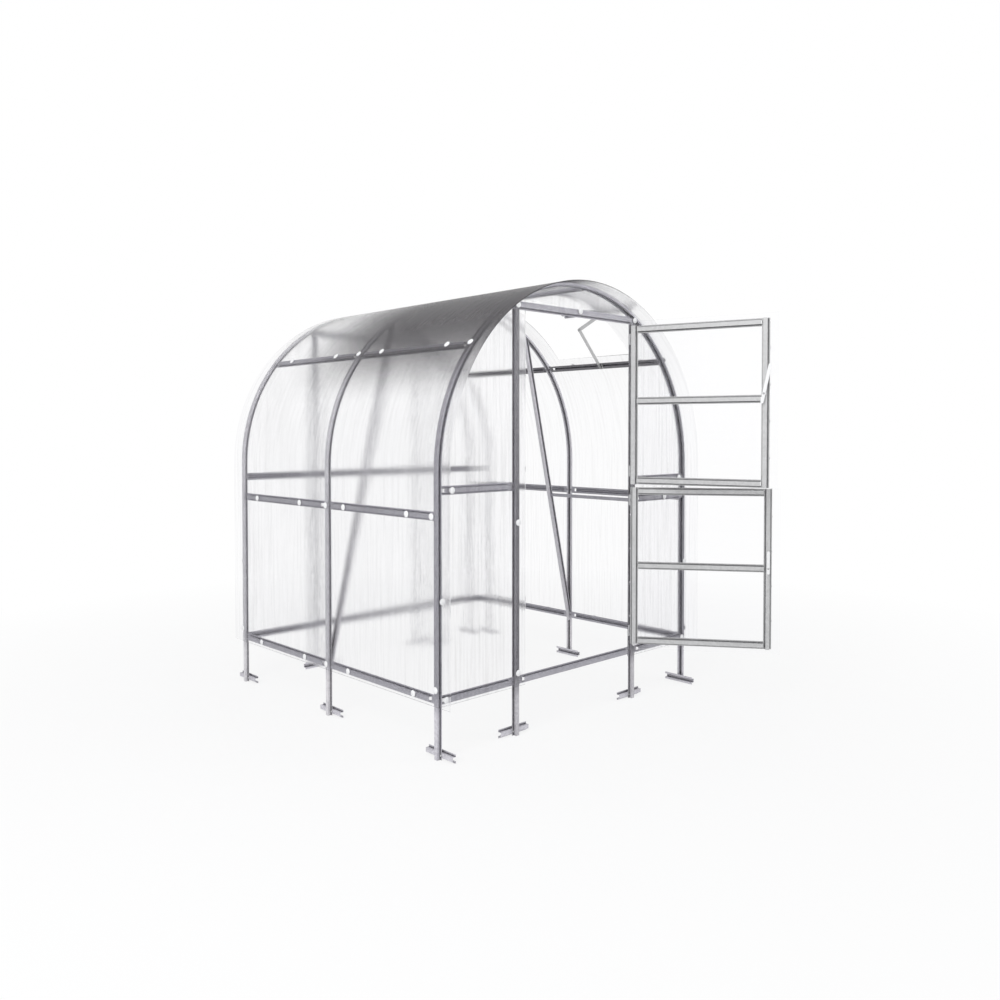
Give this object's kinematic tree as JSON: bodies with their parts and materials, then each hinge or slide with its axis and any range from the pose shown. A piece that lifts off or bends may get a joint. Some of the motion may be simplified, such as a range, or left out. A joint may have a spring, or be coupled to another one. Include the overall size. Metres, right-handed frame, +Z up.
{
  "type": "polytunnel greenhouse",
  "caption": "Arched walk-in greenhouse with a steel hoop frame, bent clear twin-wall cover, a divided gable door and an open roof hatch.",
  "frame": {"origin": "floor level, under the middle of the whole box with the door leaves standing open; the middle hoop is 0.365 m from it towards +Y", "axes": "+Z up; +Y along the length, from the door gable towards the rear gable; +X towards the door's hinge side"},
  "size_m": [2.008, 2.8303, 2.4229],
  "materials": {
    "galvanised_steel": "galvanised, satin",
    "hinge_steel": "zinc plated",
    "twin_wall_sheet": "clear twin-wall polycarbonate with fine flutes",
    "clear_sheet": "clear twin-wall polycarbonate, very transparent",
    "white_plastic": "smooth"
  },
  "bodies": {
    "frame": {"arch_feet": "galvanised_steel", "cover_sheet": "twin_wall_sheet", "door_hinge_plates": "hinge_steel", "front_arch": "galvanised_steel", "front_base_rails": "galvanised_steel", "front_header": "galvanised_steel", "front_hinge_rail": "galvanised_steel", "front_left_panel": "twin_wall_sheet", "front_mid_rails": "galvanised_steel", "front_post_feet": "galvanised_steel", "front_posts": "galvanised_steel", "front_right_panel": "twin_wall_sheet", "front_top_panel": "twin_wall_sheet", "hatch_bars": "galvanised_steel", "hatch_hinge_rail": "galvanised_steel", "hatch_hinges": "hinge_steel", "hatch_rib": "galvanised_steel", "hatch_sheet": "twin_wall_sheet", "hatch_stay": "hinge_steel", "left_base_rails": "galvanised_steel", "left_mid_rails": "galvanised_steel", "left_purlins": "galvanised_steel", "middle_arch": "galvanised_steel", "middle_struts": "galvanised_steel", "rear_arch": "galvanised_steel", "rear_base_rails": "galvanised_steel", "rear_centre_panel": "twin_wall_sheet", "rear_header": "galvanised_steel", "rear_left_panel": "twin_wall_sheet", "rear_mid_rails": "galvanised_steel", "rear_post_feet": "galvanised_steel", "rear_posts": "galvanised_steel", "rear_right_panel": "twin_wall_sheet", "rear_top_panel": "twin_wall_sheet", "right_base_rails": "galvanised_steel", "right_mid_rails": "galvanised_steel", "right_purlins": "galvanised_steel", "right_tie_bar": "galvanised_steel"},
    "upper_leaf": {"upper_latch": "white_plastic", "upper_leaf_hinges": "hinge_steel", "upper_leaf_rails": "galvanised_steel", "upper_leaf_sheet": "clear_sheet", "upper_leaf_stiles": "galvanised_steel"},
    "lower_leaf": {"lower_latch": "white_plastic", "lower_leaf_hinges": "hinge_steel", "lower_leaf_rails": "galvanised_steel", "lower_leaf_sheet": "clear_sheet", "lower_leaf_stiles": "galvanised_steel"}
  },
  "joints": [
    {"name": "upper_leaf_hinge", "type": "hinge", "parent": "frame", "child": "upper_leaf", "pos_m": [0.4215, -0.608, 1.7145], "axis": [0, 0, 1], "range_deg": [-106.7, 38.3]},
    {"name": "lower_leaf_hinge", "type": "hinge", "parent": "frame", "child": "lower_leaf", "pos_m": [0.4215, -0.608, 0.7875], "axis": [0, 0, 1], "range_deg": [-125.9, 39.1]}
  ]
}
